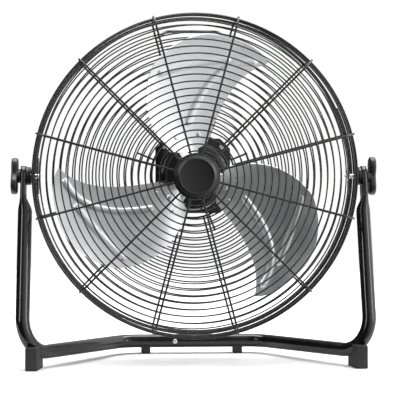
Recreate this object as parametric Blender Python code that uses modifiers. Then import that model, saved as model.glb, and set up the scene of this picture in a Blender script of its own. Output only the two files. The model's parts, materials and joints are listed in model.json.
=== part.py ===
"""High-velocity floor fan: a round wire cage with a motor and three blades, tilting in a tubular floor stand.

World frame: metres, +Z up, the air leaves towards -Y, X is the tilt axis. The origin is on the floor, at the
middle of the fan's width and depth. Everything on the head is built in the head's own frame, which is a front
view: x to the right, y up, z out of the grille towards the front, with the tilt axis through its origin.
"""

import math

import bmesh
import bpy
from mathutils import Matrix, Vector

# ---- clearances
GAP = 0.0003  # between pieces that touch
RUNNING_GAP = 0.0005  # round what turns

# ---- stand
TUBE_RADIUS = 0.01225
TUBE_WALL = 0.0013
TUBE_SIDES = 10
BEND_RADIUS = 0.050  # centre line, one bending tool
FLOOR_CLEARANCE = 0.04175  # under the cage
ARM_LEAN = math.radians(19.0)  # forwards, from the vertical
ARM_ABOVE_PIVOT = 0.018
FLAT_THICKNESS = 0.0095  # of the pressed arm end
FLAT_HALF_WIDTH = 0.0172
FLAT_SHIFT = 0.0035  # outwards, from the arm's centre line
FLAT_END = 0.034  # distance below the pivot where the pressed end starts to open
ROUND_START = 0.066  # distance below the pivot where the tube is round
BASE_FRONT_HEIGHT = 0.028  # tube centre over the floor at the front corners
BASE_REAR_HEIGHT = 0.0225  # and along the cross run at the back
REAR_REACH = 0.115  # from the pivot back to the cross run's centre line
REAR_BEND_X = 0.125
SEAM_X = -0.0075
SLEEVE_LEFT = 0.038  # length of the joining sleeve on each side of the seam
SLEEVE_RIGHT = 0.050
JOINT_SCREW_X = -0.031
JOINT_SCREW_RADIUS = 0.002

# ---- feet
FOOT_FRONT_REACH = 0.105  # from the pivot forwards to the foot's face
FOOT_DEPTH = 0.043
FOOT_WIDTH = 0.0205
FOOT_INSET = 0.005  # of the foot's outer edge from the arm's centre line
FOOT_SHEAR = 0.008  # the foot's back end is this much nearer the middle
FOOT_HEIGHT = 0.040
REAR_FOOT_X = 0.085
REAR_FOOT_SIZE = (0.017, 0.0245)
REAR_FOOT_RISE = 0.007  # its saddle comes this far up the tube

# ---- cage
CAGE_RADIUS = 0.282  # wire centre line on the side
CAGE_DEPTH = 0.139  # between the wire centre lines of the two faces
CORNER_RADIUS = 0.020
WIRE_PITCH = 0.012
WIRE_RADIUS = 0.00125
WIRE_STEPS = 18  # points on each turn
WIRE_PHASES = {"front": math.radians(111.0), "rear": math.radians(104.0)}  # where the wound wires start
RIB_RADIUS = 0.00185
RING_SWELL = 1.12  # the rings are a little thicker than the ribs, so that they swallow the ribs' ends
RIB_COUNT = 12
RIB_START = math.radians(15.0)
FRONT_RING_RADIUS = 0.0385
FRONT_WIRE_START = 0.043
RING_MARGIN = 0.0145  # of the rear hub ring round the motor
REAR_WIRE_MARGIN = 0.007  # from that ring to the first turn
STUB_COUNT = 8
STUB_LENGTH = 0.0315
RING_STEPS = 30
HANDLE_RADIUS = 0.0028
HANDLE_HALF_FLAT = 0.047
HANDLE_DROP = 0.0165  # of its bar below the cage's top wire
HANDLE_FOOT_DROP = 0.033
HANDLE_STANDOFF = 0.028  # clear finger space behind the cage

# ---- front cap
CAP_RADIUS = 0.0378
CAP_FACE_RADIUS = 0.0280
CAP_DEPTH = 0.011

# ---- tilt pivots
BOLT_RADIUS = 0.004
BOLT_HEAD_RADIUS = 0.0085
BOLT_HEAD_DEPTH = 0.0035
COLLAR_RADIUS = 0.016
COLLAR_LENGTH = 0.0078
BRACKET_SIZE = (0.028, 0.064)  # height and depth
BRACKET_THICKNESS = 0.002
BRACKET_SCREW_OFFSET = 0.024
KNOB_HUB_RADIUS = 0.0125
KNOB_HUB_LENGTH = 0.007
KNOB_WING_LENGTH = 0.068
KNOB_WING_WIDTH = 0.032
KNOB_WING_THICKNESS = 0.0115
KNOB_WAIST = 0.021
LOBE_SWEEP = math.radians(118.0)  # each rounded end, either side of its middle
KNOB_OVERLAP = 0.002
KNOB_TURN = {"left": math.radians(-28.0), "right": 0.0}
BOLT_IN_KNOB = 0.011

# ---- motor
MOTOR_RADIUS = 0.062
MOTOR_FRONT = -0.036
MOTOR_REAR = -0.108
MOTOR_WALL = 0.003
PLATE_MARGIN = 0.006  # of the plate's flats round the motor
PLATE_CORNER_MARGIN = 0.021
PLATE_THICKNESS = 0.002
PLATE_SCREW_MARGIN = 0.0115
STATOR_MARGIN = 0.010  # inside the motor's wall
STATOR_LENGTH = 0.032
STATOR_BORE = 0.0305
CORE_LENGTH = 0.034
WINDING_DEPTH = 0.006
SHAFT_RADIUS = 0.004
SHAFT_FRONT = 0.026
SHAFT_SIGHT = 0.0015  # radius of the small hole in the rear shell behind the shaft
BEARING_RADIUS = 0.011
BEARING_DEPTH = 0.007
CAPACITOR_SIZE = (0.034, 0.014, 0.012)
SWITCH_RADIUS = 0.0105
SWITCH_DEPTH = 0.009
SWITCH_OFFSET = -0.036  # below the shaft
SPEED_KNOB_RADIUS = 0.0115
SPEED_KNOB_DEPTH = 0.015
SPINDLE_RADIUS = 0.003
GLAND_RADIUS = 0.0075
GLAND_LENGTH = 0.013
GLAND_PLACE = (0.030, -0.028)
SCREW_RADIUS = 0.002
SCREW_HEAD_RADIUS = 0.0042
SCREW_HEAD_DEPTH = 0.0022
SCREW_LENGTH = 0.006

# ---- blades
BLADE_COUNT = 3
BLADE_START = math.radians(99.3)
ROTOR_Z = 0.008
TIP_CLEARANCE = 0.0295  # from the blades' sweep to the cage's side wire
BLADE_ROOT_RADIUS = 0.046
BLADE_THICKNESS = 0.0012
TIP_DROP = 0.042  # how far the trailing corner falls back from the sweep
HORN_DROP = 0.012  # the leading corner keeps nearly the full sweep
ROOT_DROP = 0.016
ROOT_DEPTH = 0.030  # axial depth of the blade at its root and its tip
TIP_DEPTH = 0.052
CAMBER = 0.007
BLADE_STEPS = (9, 7)  # quads along and across a blade, less one
ARM_PLATE_THICKNESS = 0.002
ARM_PLATE_END = 0.084
ARM_PLATE_SPREAD = 0.62  # of the blade's half width
ARM_PLATE_LIFT = 1.6  # the sheets are stacked along Z but slope, so they stand this much further apart
HUB_RADIUS = 0.034
HUB_REAR = -0.019
HUB_FRONT = 0.008
RIVETS = ((0.074, -15.0), (0.059, 0.0), (0.074, 17.0))  # radius, and degrees from the blade's centre
RIVET_RADIUS = 0.004
RIVET_HEIGHT = 0.0015
NUT_RADIUS = 0.0085
NUT_DEPTH = 0.006

# ---- values that follow from those above
HALF_DEPTH = CAGE_DEPTH / 2
PIVOT_Y = (FOOT_FRONT_REACH - REAR_REACH - TUBE_RADIUS) / 2
RIB_OFFSET = WIRE_RADIUS + GAP + RIB_RADIUS
PIVOT_HEIGHT = CAGE_RADIUS + RIB_OFFSET + RIB_RADIUS + FLOOR_CLEARANCE
COLLAR_START = CAGE_RADIUS + RIB_OFFSET + RIB_RADIUS * RING_SWELL + GAP
FLAT_X = COLLAR_START + COLLAR_LENGTH + GAP + FLAT_THICKNESS / 2
ARM_X = FLAT_X - FLAT_SHIFT  # centre line of each arm
FOOT_OUTER_X = ARM_X - FOOT_INSET
HANDLE_HEIGHT = CAGE_RADIUS - HANDLE_DROP
HANDLE_FOOT_HEIGHT = CAGE_RADIUS - HANDLE_FOOT_DROP
HANDLE_FOOT_X = HANDLE_FOOT_HEIGHT * math.tan(RIB_START)  # on the two upper ribs
REAR_RING_RADIUS = MOTOR_RADIUS + RING_MARGIN
REAR_WIRE_START = REAR_RING_RADIUS + REAR_WIRE_MARGIN
STUB_END = REAR_RING_RADIUS + STUB_LENGTH
PLATE_HALF = MOTOR_RADIUS + PLATE_MARGIN
PLATE_CORNER_RADIUS = MOTOR_RADIUS + PLATE_CORNER_MARGIN
PLATE_SCREW_RADIUS = MOTOR_RADIUS + PLATE_SCREW_MARGIN
STATOR_RADIUS = MOTOR_RADIUS - MOTOR_WALL - STATOR_MARGIN
SWEEP_RADIUS = CAGE_RADIUS - TIP_CLEARANCE
RING_Z = BOLT_RADIUS + GAP + RIB_RADIUS  # the two clamp rings pass either side of the bolts
PLATE_REAR = -(HALF_DEPTH - WIRE_RADIUS - GAP)
PLATE_FRONT = PLATE_REAR + PLATE_THICKNESS

COLLECTION = "floor_fan"


def clear_scene():
    for thing in list(bpy.data.objects):
        bpy.data.objects.remove(thing, do_unlink=True)


def new_collection(name):
    collection = bpy.data.collections.new(name)
    bpy.context.scene.collection.children.link(collection)
    return collection


def material(name, colour, roughness, metallic=0.0):
    made = bpy.data.materials.new(name)
    made.use_nodes = True
    shader = made.node_tree.nodes["Principled BSDF"]
    shader.inputs["Base Color"].default_value = (*colour, 1.0)
    shader.inputs["Roughness"].default_value = roughness
    shader.inputs["Metallic"].default_value = metallic
    made.diffuse_color = (*colour, 1.0)
    return made


def link(thing, collection, parent=None, finish=None):
    collection.objects.link(thing)
    thing.parent = parent
    if finish is not None:
        thing.data.materials.clear()
        thing.data.materials.append(finish)
    return thing


def empty(name, location, rotation=(0.0, 0.0, 0.0), parent=None):
    made = bpy.data.objects.new(name, None)
    made.location = location
    made.rotation_euler = rotation
    return link(made, PARTS, parent)


def shade(mesh):
    mesh.shade_smooth()
    mesh.set_sharp_from_angle(angle=math.radians(40.0))
    return mesh


def cylinder_mesh(name, radius, depth, segments=24):
    """A closed cylinder along Z, centred."""
    form = bmesh.new()
    bmesh.ops.create_cone(form, cap_ends=True, segments=segments, radius1=radius, radius2=radius, depth=depth)
    mesh = bpy.data.meshes.new(name)
    form.to_mesh(mesh)
    form.free()
    return shade(mesh)


def box_mesh(name, size, at=(0.0, 0.0, 0.0)):
    form = bmesh.new()
    bmesh.ops.create_cube(form, size=1.0)
    bmesh.ops.scale(form, vec=Vector(size), verts=form.verts)
    bmesh.ops.translate(form, vec=Vector(at), verts=form.verts)
    mesh = bpy.data.meshes.new(name)
    form.to_mesh(mesh)
    form.free()
    return mesh


def screw_mesh(name, outline, closed):
    """The profile (radius, z) turned round Z. It runs down its outer side; a closed one leaves a bore."""
    mesh = bpy.data.meshes.new(name)
    edges = [(i, i + 1) for i in range(len(outline) - 1)]
    if closed:
        edges.append((len(outline) - 1, 0))
    mesh.from_pydata([(radius, 0.0, z) for radius, z in outline], edges, [])
    return mesh


def turned(name, outline, parent, finish, location=(0, 0, 0), rotation=(0, 0, 0), steps=24, closed=True):
    made = bpy.data.objects.new(name, screw_mesh(name, outline, closed))
    made.location = location
    made.rotation_euler = rotation
    turn = made.modifiers.new("turn", "SCREW")
    turn.steps = steps
    turn.render_steps = steps
    turn.use_merge_vertices = True
    turn.merge_threshold = 0.00005
    turn.use_smooth_shade = True
    return link(made, PARTS, parent, finish)


def ring(inner, outer, low, high):
    """The closed outline of a plain ring, to be turned."""
    return [(outer, high), (outer, low), (inner, low), (inner, high)]


def wire_curve(name, runs, radius, resolution=0):
    """A curve with one straight-segment spline for each (points, closed) run."""
    curve = bpy.data.curves.new(name, "CURVE")
    curve.dimensions = "3D"
    curve.bevel_depth = radius
    curve.bevel_resolution = resolution
    curve.use_fill_caps = True
    for points, closed in runs:
        spline = curve.splines.new("POLY")
        spline.points.add(len(points) - 1)
        for spot, point in zip(spline.points, points):
            spot.co = (*point, 1.0)
        spline.use_cyclic_u = closed
    return curve


def wire(name, runs, radius, parent, finish, resolution=0):
    return link(bpy.data.objects.new(name, wire_curve(name, runs, radius, resolution)), PARTS, parent, finish)


def mesh_of_curve(curve, name):
    """The curve as a closed mesh, its caps welded."""
    holder = bpy.data.objects.new(name + "_curve", curve)
    CUTTERS.objects.link(holder)
    graph = bpy.context.evaluated_depsgraph_get()
    mesh = bpy.data.meshes.new_from_object(holder.evaluated_get(graph))
    bpy.data.objects.remove(holder)
    mesh.name = name
    form = bmesh.new()
    form.from_mesh(mesh)
    bmesh.ops.remove_doubles(form, verts=form.verts, dist=0.00001)
    bmesh.ops.recalc_face_normals(form, faces=form.faces)
    form.to_mesh(mesh)
    form.free()
    return mesh


def mesh_object(name, mesh, parent, finish, location=(0, 0, 0), rotation=(0, 0, 0)):
    made = bpy.data.objects.new(name, mesh)
    made.location = location
    made.rotation_euler = rotation
    return link(made, PARTS, parent, finish)


def cutter(name, mesh, parent, location=(0, 0, 0), rotation=(0, 0, 0)):
    made = bpy.data.objects.new(name, mesh)
    made.location = location
    made.rotation_euler = rotation
    made.hide_render = True
    made.display_type = "WIRE"
    return link(made, CUTTERS, parent)


def combine(target, other, operation="DIFFERENCE"):
    step = target.modifiers.new(other.name, "BOOLEAN")
    step.operation = operation
    step.object = other
    step.solver = "EXACT"


def on_circle(radius, angle, z=0.0):
    return Vector((radius * math.cos(angle), radius * math.sin(angle), z))


ALONG_X = (0.0, math.pi / 2, 0.0)  # turns a piece made along Z to point along +X
ALONG_MINUS_X = (0.0, -math.pi / 2, 0.0)


# ---------------------------------------------------------------- stand


def bent_path(corners, radius, steps):
    """Straight runs between the corners, joined by arcs of one bend radius."""
    path = [Vector(corners[0])]
    for before, corner, after in zip(corners, corners[1:], corners[2:]):
        back = (Vector(before) - Vector(corner)).normalized()
        ahead = (Vector(after) - Vector(corner)).normalized()
        half = back.angle(ahead) / 2
        middle = Vector(corner) + (back + ahead).normalized() * radius / math.sin(half)
        start = Vector(corner) + back * radius / math.tan(half) - middle
        axis = start.cross(Vector(corner) + ahead * radius / math.tan(half) - middle).normalized()
        turn = math.pi - 2 * half
        for i in range(steps + 1):
            path.append(middle + Matrix.Rotation(turn * i / steps, 3, axis) @ start)
    path.append(Vector(corners[-1]))
    return path


def arm_point(side, below):
    """On an arm's centre line, at a distance below the pivot along the arm."""
    return Vector((side * ARM_X, PIVOT_Y - below * math.sin(ARM_LEAN), PIVOT_HEIGHT - below * math.cos(ARM_LEAN)))


def stand_path(side, seam_x, top=ARM_ABOVE_PIVOT):
    """From an arm's top, round the front corner and the back bend, to the seam."""
    below = (PIVOT_HEIGHT - BASE_FRONT_HEIGHT) / math.cos(ARM_LEAN)
    rear_y = PIVOT_Y + REAR_REACH
    corners = [
        arm_point(side, -top),
        arm_point(side, below),
        (side * REAR_BEND_X, rear_y, BASE_REAR_HEIGHT),
        (seam_x, rear_y, BASE_REAR_HEIGHT),
    ]
    path = bent_path(corners, BEND_RADIUS, 5)
    count = 6
    extra = [arm_point(side, FLAT_END + (ROUND_START - FLAT_END) * i / count) for i in range(count + 1)]
    return path[:1] + extra + path[1:]


def press_flat(mesh, side):
    """Squeezes the arm's top end between flat dies, opening to the round tube below."""
    across = Vector((0.0, math.cos(ARM_LEAN), -math.sin(ARM_LEAN)))
    down = Vector((0.0, -math.sin(ARM_LEAN), -math.cos(ARM_LEAN)))
    pivot = arm_point(side, 0.0)
    for vertex in mesh.vertices:
        offset = vertex.co - pivot
        below = offset.dot(down)
        if below > ROUND_START or abs(offset.x) > 2 * TUBE_RADIUS:
            continue
        share = min(1.0, max(0.0, (ROUND_START - below) / (ROUND_START - FLAT_END)))
        share = share * share * (3 - 2 * share)
        thin = 1 + share * (FLAT_THICKNESS / 2 / TUBE_RADIUS - 1)
        wide = 1 + share * (FLAT_HALF_WIDTH / TUBE_RADIUS - 1)
        vertex.co = pivot + down * below + across * offset.dot(across) * wide
        vertex.co.x = pivot.x + offset.x * thin + side * FLAT_SHIFT * share


def stand_half(name, side, finish):
    curve = wire_curve(name, [(stand_path(side, SEAM_X + side * GAP / 2), False)], TUBE_RADIUS, TUBE_SIDES // 2 - 2)
    curve.use_fill_caps = False
    mesh = mesh_of_curve(curve, name)
    press_flat(mesh, side)
    tube = mesh_object(name, shade(mesh), None, finish)
    wall = tube.modifiers.new("wall", "SOLIDIFY")
    wall.thickness = TUBE_WALL
    wall.offset = -1.0
    hole = cylinder_mesh(name + "_bolt_hole", BOLT_RADIUS + GAP, 6 * FLAT_THICKNESS, 16)
    place = (side * FLAT_X, PIVOT_Y, PIVOT_HEIGHT)
    combine(tube, cutter(name + "_bolt_hole", hole, None, place, ALONG_X))
    return tube


def make_stand():
    left = stand_half("stand_tube_left", -1, STEEL_BLACK)
    stand_half("stand_tube_right", 1, STEEL_BLACK)
    rear_y = PIVOT_Y + REAR_REACH
    outer = TUBE_RADIUS * math.cos(math.pi / TUBE_SIDES) - TUBE_WALL - GAP
    sleeve = turned(
        "stand_joint_sleeve", ring(outer - TUBE_WALL, outer, -SLEEVE_LEFT, SLEEVE_RIGHT), None, STEEL_BLACK,
        (SEAM_X, rear_y, BASE_REAR_HEIGHT), ALONG_X, 20,
    )
    drill = cylinder_mesh("joint_screw_hole", JOINT_SCREW_RADIUS + GAP, TUBE_RADIUS, 12)
    front = (JOINT_SCREW_X, rear_y - TUBE_RADIUS, BASE_REAR_HEIGHT)
    hole = cutter("joint_screw_hole", drill, None, front, (math.pi / 2, 0.0, 0.0))
    combine(left, hole)
    combine(sleeve, hole)
    turned(
        "stand_joint_screw", screw_outline(JOINT_SCREW_RADIUS, SCREW_LENGTH), None, STEEL_BRIGHT,
        (front[0], front[1] - GAP, front[2]), (math.pi / 2, 0.0, 0.0), 14, False,
    )
    for name, side in (("left", -1), ("right", 1)):
        front_foot(f"front_foot_{name}", side)
        rear_foot(f"rear_foot_{name}", side)


def screw_head(radius, depth):
    """The outline of a pan head along Z, from its crown to its rim, its underside at z = 0."""
    return [(0.0, depth), (radius * 0.75, depth), (radius, depth * 0.5), (radius, 0.0)]


def screw_outline(radius, length):
    """A pan-head screw with its shank below z = 0."""
    return [*screw_head(SCREW_HEAD_RADIUS, SCREW_HEAD_DEPTH), (radius, 0.0), (radius, -length), (0.0, -length)]


def saddle(name, side):
    """The tube with its clearance, as a cutter for the feet."""
    path = stand_path(side, 0.0)
    return cutter(name, mesh_of_curve(wire_curve(name, [(path, False)], TUBE_RADIUS + GAP, TUBE_SIDES // 2 - 2), name), None)


def front_foot(name, side):
    """A rubber block under the front corner, its face square to the front and its sides running back inwards."""
    curve = bpy.data.curves.new(name, "CURVE")
    curve.dimensions = "2D"
    curve.fill_mode = "BOTH"
    curve.extrude = FOOT_HEIGHT / 2
    front = PIVOT_Y - FOOT_FRONT_REACH
    inner = FOOT_OUTER_X - FOOT_WIDTH
    outline = [
        (side * FOOT_OUTER_X, front), (side * inner, front),
        (side * (inner - FOOT_SHEAR), front + FOOT_DEPTH), (side * (FOOT_OUTER_X - FOOT_SHEAR), front + FOOT_DEPTH),
    ]
    spline = curve.splines.new("POLY")
    spline.points.add(len(outline) - 1)
    for spot, (x, y) in zip(spline.points, outline):
        spot.co = (x, y, 0.0, 1.0)
    spline.use_cyclic_u = True
    foot = mesh_object(name, mesh_of_curve(curve, name), None, RUBBER, (0.0, 0.0, FOOT_HEIGHT / 2))
    combine(foot, saddle(name + "_saddle", side))


def rear_foot(name, side):
    width, depth = REAR_FOOT_SIZE
    height = BASE_REAR_HEIGHT - TUBE_RADIUS + REAR_FOOT_RISE
    place = (side * REAR_FOOT_X, PIVOT_Y + REAR_REACH, height / 2)
    foot = mesh_object(name, box_mesh(name, (width, depth, height)), None, RUBBER, place)
    combine(foot, saddle(name + "_saddle", side))


# ---------------------------------------------------------------- cage

SIDE_LENGTH = CAGE_DEPTH - 2 * CORNER_RADIUS
FACE_LENGTH = CAGE_RADIUS - CORNER_RADIUS
ARC_LENGTH = CORNER_RADIUS * math.pi / 2


def cage_profile(along, offset=0.0):
    """(radius, z) at a distance along the cage's section, from the middle of the front over the side.

    The section is a flat face, a round corner and a straight side up to half the depth, and offset lies outside it.
    """
    if along <= FACE_LENGTH:
        return along, HALF_DEPTH + offset
    if along <= FACE_LENGTH + ARC_LENGTH:
        turn = (along - FACE_LENGTH) / CORNER_RADIUS
        reach = CORNER_RADIUS + offset
        return FACE_LENGTH + reach * math.sin(turn), HALF_DEPTH - CORNER_RADIUS + reach * math.cos(turn)
    return CAGE_RADIUS + offset, HALF_DEPTH - CORNER_RADIUS - (along - FACE_LENGTH - ARC_LENGTH)


def winding(start, end, phase, side):
    """One wire wound along the section at WIRE_PITCH a turn; side is 1 for the front guard and -1 for the rear."""
    steps = int((end - start) / WIRE_PITCH * WIRE_STEPS)
    points = []
    for i in range(steps + 1):
        radius, z = cage_profile(start + WIRE_PITCH * i / WIRE_STEPS)
        points.append(on_circle(radius, phase - side * 2 * math.pi * i / WIRE_STEPS, side * z))
    return points


def rib_run(angle, start, side):
    """A rib from its hub ring out over the corner and back along the side to its clamp ring."""
    end = FACE_LENGTH + ARC_LENGTH + HALF_DEPTH - CORNER_RADIUS - RING_Z
    stops = [start, FACE_LENGTH]
    stops += [FACE_LENGTH + ARC_LENGTH * i / 4 for i in range(1, 5)]
    stops.append(end)
    points = []
    for along in stops:
        radius, z = cage_profile(along, RIB_OFFSET)
        points.append(on_circle(radius, angle, side * z))
    return points


def ring_run(radius, z, steps=RING_STEPS):
    return [on_circle(radius, 2 * math.pi * i / steps, z) for i in range(steps)], True


def guard_ribs(name, head, side, hub_radius, stubs):
    """Ribs joined to a hub ring and a clamp ring, lying outside the wound wire."""
    face = side * (HALF_DEPTH + RIB_OFFSET)
    runs = [(rib_run(RIB_START + 2 * math.pi * i / RIB_COUNT, hub_radius, side), False) for i in range(RIB_COUNT)]
    for i in range(stubs):
        angle = 2 * math.pi * (i + 0.5) / stubs
        runs.append(([on_circle(hub_radius, angle, face), on_circle(STUB_END, angle, face)], False))
    ribs = mesh_object(name, mesh_of_curve(wire_curve(name, runs, RIB_RADIUS), name), head, STEEL_WIRE)
    rings = [ring_run(hub_radius, face, 24), ring_run(CAGE_RADIUS + RIB_OFFSET, side * RING_Z)]
    joined = mesh_of_curve(wire_curve(name + "_rings", rings, RIB_RADIUS * RING_SWELL), name + "_rings")
    combine(ribs, cutter(name + "_rings", joined, head), "UNION")


def make_cage(head):
    corner_end = FACE_LENGTH + ARC_LENGTH
    side_end = corner_end + HALF_DEPTH - CORNER_RADIUS - RING_Z - 2 * RIB_RADIUS - WIRE_RADIUS
    face_end = FACE_LENGTH - WIRE_RADIUS
    for name, side, start in (("front", 1, FRONT_WIRE_START), ("rear", -1, REAR_WIRE_START)):
        face = winding(start, face_end, WIRE_PHASES[name], side)
        wire(f"{name}_face_wire", [(face, False)], WIRE_RADIUS, head, STEEL_WIRE)
        edge = winding(face_end + WIRE_PITCH - WIRE_RADIUS, side_end, WIRE_PHASES[name], side)
        wire(f"{name}_side_wire", [(edge, False)], WIRE_RADIUS, head, STEEL_WIRE)
    guard_ribs("front_guard_ribs", head, 1, FRONT_RING_RADIUS, 0)
    guard_ribs("rear_guard_ribs", head, -1, REAR_RING_RADIUS, STUB_COUNT)
    make_cap(head)
    make_handle(head)


def make_cap(head):
    """The plain round cap that covers the front hub ring."""
    back = HALF_DEPTH + RIB_OFFSET + RIB_RADIUS * RING_SWELL + GAP
    face = back + CAP_DEPTH
    outline = [
        (0.0, face - 0.0015), (CAP_FACE_RADIUS, face - 0.0015), (CAP_FACE_RADIUS + 0.0015, face),
        (CAP_FACE_RADIUS + 0.004, face), (CAP_RADIUS, face - 0.0045), (CAP_RADIUS, back), (0.0, back),
    ]
    turned("front_cap", outline, head, PLASTIC_BLACK, closed=False)


def make_handle(head):
    """A formed rod behind the top of the rear guard, its ends resting on the guard's two upper ribs."""
    foot_z = -(HALF_DEPTH + RIB_OFFSET + RIB_RADIUS + GAP + HANDLE_RADIUS)
    bar_z = foot_z - HANDLE_STANDOFF
    corners = [
        (-HANDLE_FOOT_X, HANDLE_FOOT_HEIGHT, foot_z), (-HANDLE_HALF_FLAT, HANDLE_HEIGHT, bar_z),
        (HANDLE_HALF_FLAT, HANDLE_HEIGHT, bar_z), (HANDLE_FOOT_X, HANDLE_FOOT_HEIGHT, foot_z),
    ]
    wire("carry_handle", [(bent_path(corners, 3 * HANDLE_RADIUS, 3), False)], HANDLE_RADIUS, head, STEEL_BLACK, 2)


# ---------------------------------------------------------------- tilt pivots


def make_pivot(name, side, head, knob):
    """Bracket inside the cage, bolt, collar and, on its own body, the wing knob. Distances run outwards."""
    outwards, inwards = (ALONG_X, ALONG_MINUS_X) if side > 0 else (ALONG_MINUS_X, ALONG_X)
    wall = CAGE_RADIUS * math.cos(math.pi / WIRE_STEPS) - WIRE_RADIUS - GAP  # inside the wire's straight steps
    height, depth = BRACKET_SIZE
    at = (side * (wall - BRACKET_THICKNESS / 2), 0.0, 0.0)
    bracket = mesh_object(
        f"pivot_bracket_{name}", box_mesh(f"pivot_bracket_{name}", (BRACKET_THICKNESS, height, depth)),
        head, STEEL_WIRE, at,
    )
    hole = cylinder_mesh(f"bracket_hole_{name}", BOLT_RADIUS + GAP, 4 * BRACKET_THICKNESS, 16)
    combine(bracket, cutter(f"bracket_hole_{name}", hole, head, at, ALONG_X))

    head_face = wall - BRACKET_THICKNESS - GAP
    tip = FLAT_X + FLAT_THICKNESS / 2 + GAP + BOLT_IN_KNOB
    length = tip - head_face
    outline = [
        (0.0, length), (BOLT_RADIUS, length), (BOLT_RADIUS, 0.0), (BOLT_HEAD_RADIUS, 0.0),
        (BOLT_HEAD_RADIUS, -BOLT_HEAD_DEPTH * 0.4), (BOLT_HEAD_RADIUS * 0.6, -BOLT_HEAD_DEPTH),
        (0.0, -BOLT_HEAD_DEPTH),
    ]
    turned(f"pivot_bolt_{name}", outline, head, STEEL_BRIGHT, (side * head_face, 0.0, 0.0), outwards, 16, False)

    collar = ring(BOLT_RADIUS + GAP, COLLAR_RADIUS, COLLAR_START, COLLAR_START + COLLAR_LENGTH)
    turned(f"pivot_collar_{name}", collar, head, PLASTIC_BLACK, rotation=outwards)
    for place, z in (("front", BRACKET_SCREW_OFFSET), ("rear", -BRACKET_SCREW_OFFSET)):
        turned(
            f"bracket_screw_{name}_{place}", [*screw_head(SCREW_HEAD_RADIUS, SCREW_HEAD_DEPTH), (0.0, 0.0)], head,
            STEEL_BRIGHT, (side * head_face, 0.0, z), inwards, 12, False,
        )
    make_knob(name, side, knob, outwards)


def make_knob(name, side, knob, outwards):
    start = FLAT_X + FLAT_THICKNESS / 2 + GAP
    hub_end = start + KNOB_HUB_LENGTH
    hub = mesh_object(
        f"tilt_knob_{name}", cylinder_mesh(f"tilt_knob_{name}", KNOB_HUB_RADIUS, KNOB_HUB_LENGTH, 20), knob,
        PLASTIC_BLACK, (side * (start + hub_end) / 2, 0.0, 0.0), outwards,
    )
    curve = bpy.data.curves.new(f"knob_wing_{name}", "CURVE")
    curve.dimensions = "2D"
    curve.fill_mode = "BOTH"
    curve.extrude = KNOB_WING_THICKNESS / 2
    half = KNOB_WING_LENGTH / 2 - KNOB_WING_WIDTH / 2
    outline = []
    for end, middle in ((half, math.pi / 2), (-half, -math.pi / 2)):
        for i in range(9):
            angle = middle + LOBE_SWEEP * (i / 4 - 1)
            outline.append((KNOB_WING_WIDTH / 2 * math.cos(angle), end + KNOB_WING_WIDTH / 2 * math.sin(angle)))
        outline.append((-math.copysign(KNOB_WAIST / 2, end), 0.0))
    spline = curve.splines.new("POLY")
    spline.points.add(len(outline) - 1)
    for spot, (x, y) in zip(spline.points, outline):
        spot.co = (x, y, 0.0, 1.0)
    spline.use_cyclic_u = True
    wing_at = side * (hub_end - KNOB_OVERLAP + KNOB_WING_THICKNESS / 2)
    # the wing's outline stands up the head's y axis before it is turned about the bolt
    turn = Matrix.Rotation(KNOB_TURN[name], 4, "X") @ Matrix.Rotation(math.pi / 2, 4, "Y")
    wing = cutter(
        f"knob_wing_{name}", mesh_of_curve(curve, f"knob_wing_{name}"), knob, (wing_at, 0.0, 0.0), turn.to_euler()
    )
    combine(hub, wing, "UNION")
    bore = cylinder_mesh(f"knob_bore_{name}", BOLT_RADIUS + GAP, 2 * (BOLT_IN_KNOB + GAP), 16)
    combine(hub, cutter(f"knob_bore_{name}", bore, knob, (side * start, 0.0, 0.0), ALONG_X))


# ---------------------------------------------------------------- motor


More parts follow.
